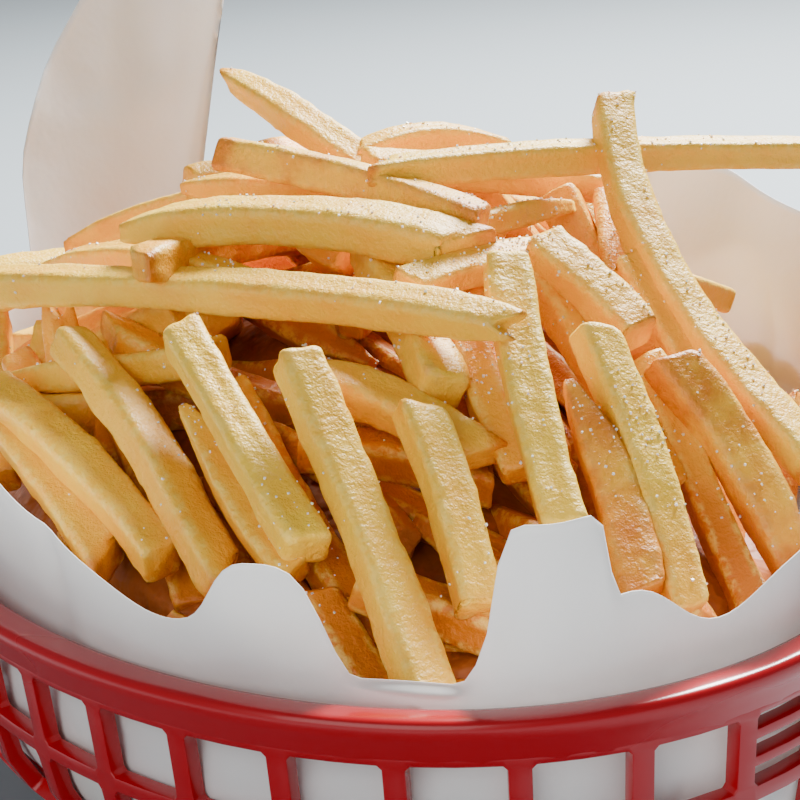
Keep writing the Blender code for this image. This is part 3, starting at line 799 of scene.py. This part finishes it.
class FRIES_OT_paper(bpy.types.Operator):
    """Build the paper liner"""
    bl_idname = "fries.paper"
    bl_label = "Paper liner"

    def execute(self, context):
        settings = context.scene.fries_paper
        wide = settings.columns
        high = settings.rows
        bpy.ops.mesh.primitive_grid_add(x_subdivisions=wide, y_subdivisions=high, size=2.0)
        sheet = bpy.context.object
        unit = (coords(sheet)[:, :2] + 1.0) / 2.0
        points = paper_points(unit[:, 0] * PERIMETER, unit[:, 1], settings.rise)
        set_coords(sheet, points)
        oil = smooth(0.2, 0.7, field(points, 17.0 * MM, 21)) * smooth(1.0, 0.75, unit[:, 1])
        set_attribute(sheet.data, "oil", oil)
        only(sheet)
        bpy.ops.object.mode_set(mode="EDIT")
        bpy.ops.mesh.select_all(action="SELECT")
        bpy.ops.mesh.remove_doubles(threshold=0.00005)
        bpy.ops.mesh.normals_make_consistent(inside=True)
        bpy.ops.object.mode_set(mode="OBJECT")
        body = sheet.modifiers.new("thickness", "SOLIDIFY")
        body.thickness = settings.thickness
        body.offset = 0.0
        apply_modifiers(sheet)
        bpy.ops.object.shade_smooth()
        finish_piece(sheet, "paper_sheet", paper_material(), "paper_liner")
        return {"FINISHED"}


# Fries ---------------------------------------------------------------------------------------
def dome_top(x, y):
    """Height of the dome that the fries are laid on, in millimetres."""
    out = np.clip((x / HEAP_HALF_WIDTH) ** 2 + (y / HEAP_HALF_LENGTH) ** 2, 0.0, 1.0)
    crown = HEAP_CROWN - HEAP_FAR_FALL * smooth(-25.0, 55.0, y)
    return HEAP_EDGE + crown * (1.0 - out) ** 0.75


def heap_top(x, y):
    """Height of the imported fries' outline, lower at the far sides and along the +X flank."""
    out = np.clip((x / HEAP_HALF_WIDTH) ** 2 + (y / HEAP_HALF_LENGTH) ** 2, 0.0, 1.0)
    fall = 12.0 * smooth(-25.0, 15.0, y) * smooth(25.0, 55.0, np.abs(x))
    across = 0.975 * x - 0.22 * y
    fall = fall + 26.0 * smooth(34.0, 48.0, across) * smooth(-85.0, -60.0, y)
    return np.maximum(dome_top(x, y) - fall * (1.0 - out) ** 0.75, HEAP_EDGE)


def inner_inset(z):
    """Inset of the paper's inner side at height z, in millimetres."""
    k = np.arcsin(np.clip(1.0 - z / 24.0, 0.0, 1.0))
    low = 3.7 + 36.0 * (1.0 - np.cos(k))
    return np.where(z < 24.0, low, 3.7) + 4.6


def axes_of(heading, tilt):
    h = np.radians(heading)
    t = np.radians(tilt)
    return np.stack([np.cos(h) * np.cos(t), np.sin(h) * np.cos(t), np.sin(t)], axis=-1)


def closest(p, u, lp, q, v, lq):
    """For all pairs of bars: places along each where they come closest."""
    w = p[:, None, :] - q[None, :, :]
    b = u @ v.T
    d = np.einsum("ijk,ik->ij", w, u)
    e = np.einsum("ijk,jk->ij", w, v)
    den = np.maximum(1.0 - b * b, 1e-4)
    s = np.clip((b * e - d) / den, -lp[:, None], lp[:, None])
    t = np.clip(b * s + e, -lq[None, :], lq[None, :])
    s = np.clip(b * t - d, -lp[:, None], lp[:, None])
    return s, t


def hold_inside(points):
    """How far to move points so that they lie inside the paper, in millimetres."""
    z = points[:, 2]
    inset = inner_inset(z)
    ax = np.maximum(76.0 - inset - 3.2, 4.0)
    ay = np.maximum(117.0 - inset - 3.2, 8.0)
    out = np.hypot(points[:, 0] / ax, points[:, 1] / ay)
    free = z > 60.0
    scale = np.where((out > 1.0) & ~free, 1.0 / np.maximum(out, 1e-6), 1.0)
    moved = points.copy()
    moved[:, 0] *= scale
    moved[:, 1] *= scale
    moved[:, 2] = np.maximum(z, LOWEST_MIDDLE)
    return moved - points


def lies_inside(bar):
    """Whether a settled fry lies within the paper along its whole length."""
    ahead = axes_of(bar[3], bar[4]) * bar[5] / 2.0
    spots = np.array([np.array(bar[:3]) + part * ahead for part in np.linspace(-1.0, 1.0, 7)])
    return float(np.abs(hold_inside(spots)).max()) < LARGEST_OVERLAP


def settle(middle, along, half, radius, firm, steps):
    """Bars make room for each other.  Firm ones only slide along GIVE_WAY."""
    give = np.array(GIVE_WAY) / np.linalg.norm(GIVE_WAY)
    home = middle.copy()
    for step in range(steps):
        s, t = closest(middle, along, half, middle, along, half)
        here = middle[:, None, :] + s[:, :, None] * along[:, None, :]
        there = middle[None, :, :] + t[:, :, None] * along[None, :, :]
        apart = here - there
        gap = np.linalg.norm(apart, axis=2)
        gap[np.diag_indices(len(gap))] = 1e9
        over = np.maximum(radius[:, None] + radius[None, :] - gap, 0.0)
        push = apart / np.maximum(gap, 1e-3)[:, :, None] * (over * 0.32)[:, :, None]
        shift = push.sum(axis=1)
        lever = (push * s[:, :, None]).sum(axis=1) / np.maximum(half, 6.0)[:, None] ** 2 * 2.0
        firm_shift = (shift @ give)[:, None] * give[None, :]
        shift = np.where(firm[:, None], firm_shift * 0.8, shift)
        length = np.linalg.norm(shift, axis=1)
        shift *= np.minimum(1.0, 1.6 / np.maximum(length, 1e-6))[:, None]
        middle = middle + shift
        turn = lever - (lever * along).sum(axis=1)[:, None] * along
        turn[firm] = 0.0
        along = along + np.clip(turn, -0.05, 0.05)
        along = along / np.linalg.norm(along, axis=1)[:, None]
        for side in (-1.0, 1.0):
            ends = middle + side * half[:, None] * along
            fix = hold_inside(ends)
            fix[firm] = 0.0
            middle = middle + fix * 0.5
            along = along + side * fix * 0.5 / half[:, None]
            along = along / np.linalg.norm(along, axis=1)[:, None]
        for part in (-1.0, 0.0, 1.0):
            spot = middle + part * half[:, None] * along
            front = smooth(-25.0, -55.0, spot[:, 1])
            lid = heap_top(spot[:, 0], spot[:, 1]) - 3.0 - 13.0 * front
            above = np.where(firm, 0.0, np.clip(spot[:, 2] - lid, 0.0, 2.0))
            middle[:, 2] -= above * 0.35
            along[:, 2] -= part * above * 0.35 / half
            along = along / np.linalg.norm(along, axis=1)[:, None]
        pull = home - middle
        pull[:, 2] = np.where(firm, pull[:, 2], np.minimum(pull[:, 2], 0.0))
        middle = middle + pull * np.where(firm, 0.10, 0.03)[:, None]
    return middle, along


def near_fries(count, seed):
    """Fries that stand close together down the near face, under the laid ones."""
    rng = np.random.RandomState(seed)
    bars = []
    for i in range(count):
        a = math.radians(NEAR_SPREAD * ((i + 0.5) / count - 0.5) + rng.uniform(-3.0, 3.0))
        out = NEAR_OUT + NEAR_STAGGER * (i % 3 - 1)
        x = HEAP_HALF_WIDTH * out * math.sin(a)
        y = -HEAP_HALF_LENGTH * out * math.cos(a)
        z = float(dome_top(x, y)) - NEAR_DEPTH - 5.0 * (i % 2)
        wide = rng.uniform(5.0, 6.4)
        bars.append((x, y, z, -80.0 + rng.uniform(-22.0, 32.0), -38.0 + rng.uniform(-8.0, 8.0),
                     rng.uniform(34.0, 50.0), wide, wide * rng.uniform(0.85, 1.0), 0.0,
                     rng.normal(0.0, 1.0), rng.uniform(-30.0, 30.0), rng.uniform(0.35, 0.9),
                     rng.uniform(0.1, 0.5), "cccspr"[rng.randint(6)] + "ccs"[rng.randint(3)]))
    return bars


def laid_fries():
    """The layers' fries, each resting on the dome at both ends."""
    bars = []
    for heading, lean, row in LAYERS:
        for angle, out, turn, depth, length, *form in row:
            a = math.radians(angle)
            x = HEAP_HALF_WIDTH * out * math.sin(a)
            y = -HEAP_HALF_LENGTH * out * math.cos(a)
            step = axes_of(heading + turn, 0.0) * length / 2.0
            rise = dome_top(x + step[0], y + step[1]) - dome_top(x - step[0], y - step[1])
            tilt = math.degrees(math.atan2(rise, length)) + lean
            z = float(dome_top(x, y)) - depth
            bars.append((x, y, z, heading + turn, tilt, length, *form))
    return bars


def filler_fries(count, seed):
    """Fries spread through the outer layers of the heap."""
    rng = np.random.RandomState(seed)
    bars = []
    for i in range(count):
        out = math.sqrt((i + 0.5) / count) * 0.93
        a = i * 2.39996
        x = 66.0 * out * math.cos(a)
        y = 105.0 * out * math.sin(a)
        front = float(smooth(10.0, -50.0, np.array(y)))
        layer = (i % 3) * 5.5 + 3.0 + 12.0 * front
        heading = rng.uniform(0.0, 360.0)
        if rng.rand() < 0.75 * front:
            heading = -75.0 + rng.uniform(-28.0, 28.0)
        step = axes_of(heading, 0.0) * 5.0
        slope = (heap_top(x + step[0], y + step[1]) - heap_top(x - step[0], y - step[1])) / 10.0
        tilt = math.degrees(math.atan(slope)) * 0.85 + rng.uniform(-7.0, 7.0)
        length = rng.uniform(38.0, 84.0) * (1.0 - 0.25 * out)
        wide = rng.uniform(5.4, 7.4)
        tone = float(np.clip(rng.normal(0.38, 0.22), 0.0, 1.0))
        ends = "ccccsspr"[rng.randint(8)] + "cccsspr"[rng.randint(7)]
        z = float(heap_top(x, y)) - layer
        bars.append((x, y, z, heading, tilt, length, wide, wide * rng.uniform(0.85, 1.0),
                     rng.normal(0.0, 1.4), rng.normal(0.0, 1.4), rng.uniform(-45.0, 45.0),
                     tone, rng.uniform(0.0, 0.6) ** 1.5, ends))
    return bars


def bar_pattern(sides, cuts):
    """One bar, modelled once: a round bar with even cuts along it and stepped ends."""
    bpy.ops.mesh.primitive_cylinder_add(vertices=sides, radius=1.0, depth=2.0,
                                        end_fill_type="NGON", rotation=(0.0, 0.0, 0.0))
    bar = bpy.context.object
    bpy.ops.object.mode_set(mode="EDIT")
    bpy.ops.mesh.select_mode(type="EDGE")
    bpy.ops.mesh.select_all(action="DESELECT")
    bpy.ops.object.mode_set(mode="OBJECT")
    for edge in bar.data.edges:
        a, b = (bar.data.vertices[i].co.z for i in edge.vertices)
        edge.select = abs(a - b) > 1.0
    bpy.ops.object.mode_set(mode="EDIT")
    bpy.ops.mesh.subdivide(number_cuts=cuts)
    bpy.ops.mesh.select_mode(type="FACE")
    bpy.ops.mesh.select_all(action="DESELECT")
    bpy.ops.object.mode_set(mode="OBJECT")
    for face in bar.data.polygons:
        face.select = abs(face.normal.z) > 0.9
    bpy.ops.object.mode_set(mode="EDIT")
    for step in (0.09, 0.22, 0.30):
        bpy.ops.mesh.inset(thickness=step)
    bpy.ops.mesh.poke()
    bpy.ops.object.mode_set(mode="OBJECT")
    points = coords(bar)
    faces = [tuple(f.vertices) for f in bar.data.polygons]
    bpy.data.objects.remove(bar)
    return points, faces


def end_shape(kind, near, y, z, rng):
    """Scale across, scale in thickness and shift along, close to one end."""
    wide = 1.0 + 0.0 * near
    thick = 1.0 + 0.0 * near
    shift = 0.0 * near
    if kind == "c":
        lean = rng.uniform(-0.35, 0.35)
        shift = near ** 4 * lean * y
        wide = 1.0 - 0.05 * near ** 3
    elif kind == "s":
        lean = rng.choice([-1.0, 1.0]) * rng.uniform(0.7, 1.1)
        shift = near ** 3 * lean * y
        thick = 1.0 - 0.25 * near ** 2
    elif kind == "p":
        wide = 1.0 - 0.72 * near ** 1.6
        thick = 1.0 - 0.55 * near ** 1.6
    elif kind == "r":
        wide = 1.0 - 0.30 * near ** 2
        thick = 1.0 - 0.45 * near ** 2
        shift = near ** 3 * 1.5 * np.sin(y * 0.8 + z * 0.6 + rng.uniform(0.0, 6.0))
    return wide, thick, shift


def fry_points(pattern, bar, index, blister):
    """The pattern shaped into one fry, with its finish values."""
    x, y, z, heading, tilt, length, width, thick, rise, side, roll, tone, brown, ends = bar
    rng = np.random.RandomState(1000 + index)
    reach = np.hypot(pattern[:, 0], pattern[:, 1])
    theta = np.arctan2(pattern[:, 1], pattern[:, 0])
    u = pattern[:, 2]
    power = rng.uniform(4.0, 6.5)
    c = np.abs(np.cos(theta))
    s = np.abs(np.sin(theta))
    square = (c ** power + s ** power) ** (-1.0 / power)
    flat = np.cos(2.0 * theta) ** 2
    hollow = rng.uniform(0.02, 0.09)
    square = square * (1.0 - hollow * flat)
    across = np.cos(theta) * square * reach * width / 2.0
    up = np.sin(theta) * square * reach * thick / 2.0
    along = u * length / 2.0
    drift = np.stack([along, 0.0 * along, 0.0 * along + index * 31.7], axis=1)
    across = across * (1.0 + 0.09 * field(drift, 14.0, 1) + 0.04 * field(drift, 5.0, 2))
    up = up * (1.0 + 0.09 * field(drift, 17.0, 3) + 0.04 * field(drift, 6.0, 4))
    for sign, kind in ((-1.0, ends[0]), (1.0, ends[1])):
        reach_in = 13.0 if kind in "pr" else 5.0
        near = np.clip(1.0 - (length / 2.0 - sign * along) / reach_in, 0.0, 1.0)
        wide, thin, shift = end_shape(kind, near, across, up, rng)
        across = across * wide
        up = up * thin
        along = along + sign * shift
    last = (np.abs(u) > 0.999) & (reach > 0.95)
    along = np.where(last, along - np.sign(u) * 0.45, along)
    cap = np.abs(u) > 0.999
    along = along + np.where(cap, np.sign(u) * 0.25 * field(
        np.stack([across, up, 0.0 * up + index], axis=1), 1.6, 8), 0.0)
    local = np.stack([along + index * 57.0, across, up], axis=1)
    bubbles = 0.55 * field(local, 2.4, 5) + 0.45 * field(local, 1.1, 6)
    broad = field(local, 6.5, 7)
    swell = 1.0 + (blister / MM) * bubbles / 3.2 + 0.055 * broad
    across = across * swell
    up = up * swell
    edge = smooth(0.72, 0.97, 1.0 - flat * 0.55) * reach
    bow = 1.0 - u * u
    wiggle = np.sin(u * 2.6 + rng.uniform(0.0, 6.0)) * rng.uniform(0.0, 0.6)
    turn = np.radians(rng.uniform(-10.0, 10.0)) * u
    across, up = (across * np.cos(turn) - up * np.sin(turn),
                  across * np.sin(turn) + up * np.cos(turn))
    spin = math.radians(roll)
    y1 = across * math.cos(spin) - up * math.sin(spin)
    z1 = across * math.sin(spin) + up * math.cos(spin)
    y1 = y1 + side * bow + wiggle
    z1 = z1 + rise * bow
    ahead = axes_of(heading, tilt)
    left = axes_of(heading + 90.0, 0.0)
    over = np.cross(ahead, left)
    points = (np.array([x, y, z]) + along[:, None] * ahead + y1[:, None] * left
              + z1[:, None] * over)
    tip = np.maximum(np.exp(-(length / 2.0 - np.abs(along)) / 2.5), 0.0)
    toast = brown * 0.75 + 0.35 * tip + 0.10 * edge
    # painted shade: how far the point lies under the heap's top sets how much its colour is
    # darkened
    under = heap_top(points[:, 0], points[:, 1]) - points[:, 2]
    painted_shade = smooth(3.0, 15.0, under)
    values = {"tone": np.full(len(u), tone), "edge": edge, "brown": toast, "painted_shade": painted_shade}
    return points * MM, values


def join_fries(name, bars, first, sides, cuts, blister):
    """All the bars of one kind as one mesh."""
    pattern, faces = bar_pattern(sides, cuts)
    size = len(pattern)
    every = []
    joined = []
    values = {"tone": [], "edge": [], "brown": [], "painted_shade": []}
    for i, bar in enumerate(bars):
        points, found = fry_points(pattern, bar, first + i, blister)
        every.append(points)
        for key, value in found.items():
            values[key].append(value)
        joined.extend(tuple(v + i * size for v in face) for face in faces)
    obj = mesh_from(name, np.concatenate(every), joined)
    for key, value in values.items():
        set_attribute(obj.data, key, np.concatenate(value))
    only(obj)
    bpy.ops.object.shade_smooth()
    return obj


def settled_fries(settings):
    """The laid fries and the filling ones, after making room for each other."""
    laid = laid_fries()
    bars = laid + near_fries(NEAR_COUNT, settings.seed + 1)
    bars = bars + filler_fries(settings.filler, settings.seed)
    girth = settings.girth
    bars = [(*b[:6], b[6] * girth, b[7] * girth, *b[8:]) for b in bars]
    middle = np.array([b[:3] for b in bars], dtype=float)
    along = np.array([axes_of(b[3], b[4]) for b in bars])
    half = np.array([max(b[5] / 2.0 - 3.0, 2.0) for b in bars])
    radius = np.array([(b[6] + b[7]) / 4.0 for b in bars])
    firm = np.arange(len(bars)) < len(laid)
    middle, along = settle(middle, along, half, radius, firm, settings.steps)
    placed = []
    for i, bar in enumerate(bars):
        heading = math.degrees(math.atan2(along[i, 1], along[i, 0]))
        tilt = math.degrees(math.asin(float(np.clip(along[i, 2], -1.0, 1.0))))
        placed.append((*middle[i], heading, tilt, *bar[5:]))
    packed = [bar for bar in placed[len(laid):] if lies_inside(bar)]
    return placed[:len(laid)], packed


class FRIES_OT_fries(bpy.types.Operator):
    """Build the fries: the laid ones and the filling ones"""
    bl_idname = "fries.fries"
    bl_label = "Fries"

    def execute(self, context):
        settings = context.scene.fries_fries
        laid, filling = settled_fries(settings)
        material = fry_material()
        half = len(filling) // 2
        groups = (("fries_front", laid, 0, 32, 50), ("fries_packed_a", filling[:half], 200, 24, 28),
                  ("fries_packed_b", filling[half:], 400, 24, 28))
        for name, bars, first, sides, cuts in groups:
            piece = join_fries(name, bars, first, sides, cuts, settings.blister)
            finish_piece(piece, name, material, "fries_heap")
        return {"FINISHED"}


class FRIES_OT_core(bpy.types.Operator):
    """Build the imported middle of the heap"""
    bl_idname = "fries.core"
    bl_label = "Packed middle"

    def execute(self, context):
        bpy.ops.mesh.primitive_uv_sphere_add(segments=72, ring_count=36, radius=1.0)
        core = bpy.context.object
        unit = coords(core)
        flat = np.hypot(unit[:, 0], unit[:, 1])
        reach = np.clip(flat, 0.0, 1.0) ** 0.8
        aim = np.arctan2(unit[:, 1], unit[:, 0])
        x = 58.0 * reach * np.cos(aim)
        y = 97.0 * reach * np.sin(aim)
        top = heap_top(x, y) - 19.0
        low = 7.0 + 24.0 * reach ** 3
        middle = (top + low) / 2.0
        z = np.where(unit[:, 2] > 0.0, top, low)
        z = np.where(np.abs(unit[:, 2]) < 0.06, middle, z)
        points = np.stack([x, y, z], axis=1)
        points[:, 2] += 1.5 * field(points, 9.0, 12)
        set_coords(core, points * MM)
        only(core)
        bpy.ops.object.shade_smooth()
        finish_piece(core, "heap_core", core_shade_material(), "fries_heap")
        return {"FINISHED"}


class FRIES_OT_salt(bpy.types.Operator):
    """Scatter salt over the fries"""
    bl_idname = "fries.salt"
    bl_label = "Salt"

    def execute(self, context):
        rng = np.random.RandomState(5)
        front = bpy.data.objects["fries_front"].data
        back = bpy.data.objects["fries_packed_a"].data
        count, low, high = SALT_GRAINS
        bpy.ops.mesh.primitive_cube_add(size=1.0)
        grain = bpy.context.object
        cube = coords(grain)
        faces = [tuple(f.vertices) for f in grain.data.polygons]
        bpy.data.objects.remove(grain)
        points = []
        joined = []
        placed = 0
        for mesh, share in ((front, 0.72), (back, 0.28)):
            total = len(mesh.vertices)
            aim = np.empty(total * 3)
            mesh.vertices.foreach_get("normal", aim)
            aim = aim.reshape(-1, 3)
            where = np.empty(total * 3)
            mesh.vertices.foreach_get("co", where)
            where = where.reshape(-1, 3)
            painted_shade = np.empty(total)
            mesh.attributes["painted_shade"].data.foreach_get("value", painted_shade)
            weight = np.clip(aim[:, 2] + 0.25, 0.0, 1.0) * (1.05 - painted_shade)
            cluster = np.clip(0.55 + field(where / MM, 9.0, 14), 0.05, 2.0) ** 2
            weight = weight * cluster
            picks = rng.choice(total, int(count * share), p=weight / weight.sum())
            for pick in picks:
                size = rng.uniform(low, high) * MM
                turn = np.array(Matrix.Rotation(rng.uniform(0, 6.28), 3,
                                                Vector(rng.normal(size=3)).normalized()))
                body = (cube * size * rng.uniform(0.7, 1.2, 3)) @ turn.T
                points.append(body + where[pick] + aim[pick] * size * 0.25)
                joined.extend(tuple(v + placed * 8 for v in face) for face in faces)
                placed += 1
        salt = mesh_from("salt", np.concatenate(points), joined)
        finish_piece(salt, "salt", salt_material())
        return {"FINISHED"}


# Stage ---------------------------------------------------------------------------------------
def soft_light(name, place, aim, width, power, tint):
    bpy.ops.object.light_add(type="AREA", location=place)
    lamp = bpy.context.object
    lamp.name = name
    lamp.data.size = width
    lamp.data.energy = power
    lamp.data.color = tint
    lamp.rotation_euler = (Vector(aim) - Vector(place)).to_track_quat("-Z", "Y").to_euler()
    return lamp


class FRIES_OT_stage(bpy.types.Operator):
    """Set the floor, lights and camera"""
    bl_idname = "fries.stage"
    bl_label = "Stage"

    def execute(self, context):
        settings = context.scene.fries_stage
        bpy.ops.mesh.primitive_plane_add(size=8.0, location=(0.0, 0.0, -0.0002))
        floor = bpy.context.object
        floor.name = "floor"
        g = Graph("floor_paint")
        g.surface(Base_Color=colour(0.30, 0.34, 0.37), Roughness=0.7)
        floor.data.materials.append(g.material)
        world = bpy.data.worlds.new("soft_room")
        context.scene.world = world
        world.use_nodes = True
        back = world.node_tree.nodes["Background"]
        back.inputs["Color"].default_value = colour(0.90, 0.95, 1.0)
        back.inputs["Strength"].default_value = 0.24
        soft_light("key", (0.38, 0.42, 0.62), (0.0, -0.02, 0.06), 0.30, 36.0, (1.0, 1.0, 0.98))
        soft_light("fill", (-0.7, -0.8, 0.5), (0.0, 0.0, 0.05), 0.9, 6.0, (1.0, 1.0, 0.99))
        turn = settings.turn
        tilt = settings.tilt
        ahead = Vector((math.sin(turn) * math.cos(tilt), math.cos(turn) * math.cos(tilt),
                        -math.sin(tilt)))
        right = Vector((math.cos(turn), -math.sin(turn), 0.0))
        up = right.cross(ahead)
        lean = settings.roll
        right_leant = right * math.cos(lean) - up * math.sin(lean)
        up_leant = right * math.sin(lean) + up * math.cos(lean)
        bpy.ops.object.camera_add(location=CAMERA_PLACE)
        camera = bpy.context.object
        camera.name = "camera"
        axes = Matrix((right_leant, up_leant, -ahead)).transposed()
        camera.rotation_euler = axes.to_euler()
        camera.data.lens = settings.lens
        camera.data.sensor_width = 36.0
        camera.data.clip_start = 0.01
        context.scene.camera = camera
        return {"FINISHED"}


class FRIES_PT_panel(bpy.types.Panel):
    """Buttons and settings of the fries portion"""
    bl_idname = "FRIES_PT_panel"
    bl_label = "French Fries Portion"
    bl_space_type = "VIEW_3D"
    bl_region_type = "UI"
    bl_category = "Fries"

    def draw(self, context):
        scene = context.scene
        for operator, group in STEPS:
            box = self.layout.box()
            box.operator(operator.bl_idname)
            if group:
                settings = getattr(scene, group)
                for key in settings.__annotations__:
                    box.prop(settings, key)


STEPS = (
    (FRIES_OT_basket, "fries_basket"),
    (FRIES_OT_paper, "fries_paper"),
    (FRIES_OT_core, None),
    (FRIES_OT_fries, "fries_fries"),
    (FRIES_OT_salt, None),
    (FRIES_OT_stage, "fries_stage"),
)
GROUPS = {
    "fries_basket": BasketSettings,
    "fries_paper": PaperSettings,
    "fries_fries": FrySettings,
    "fries_stage": StageSettings,
}


def register():
    for name, group in GROUPS.items():
        bpy.utils.register_class(group)
        setattr(bpy.types.Scene, name, bpy.props.PointerProperty(type=group))
    for operator, _ in STEPS:
        bpy.utils.register_class(operator)
    bpy.utils.register_class(FRIES_PT_panel)


def unregister():
    bpy.utils.unregister_class(FRIES_PT_panel)
    for operator, _ in reversed(STEPS):
        bpy.utils.unregister_class(operator)
    for name, group in GROUPS.items():
        delattr(bpy.types.Scene, name)
        bpy.utils.unregister_class(group)


def build():
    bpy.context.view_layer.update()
    register()
    bpy.ops.fries.basket()
    bpy.ops.fries.paper()
    bpy.ops.fries.core()
    bpy.ops.fries.fries()
    bpy.ops.fries.salt()
    bpy.ops.fries.stage()


if __name__ == "__main__":
    build()
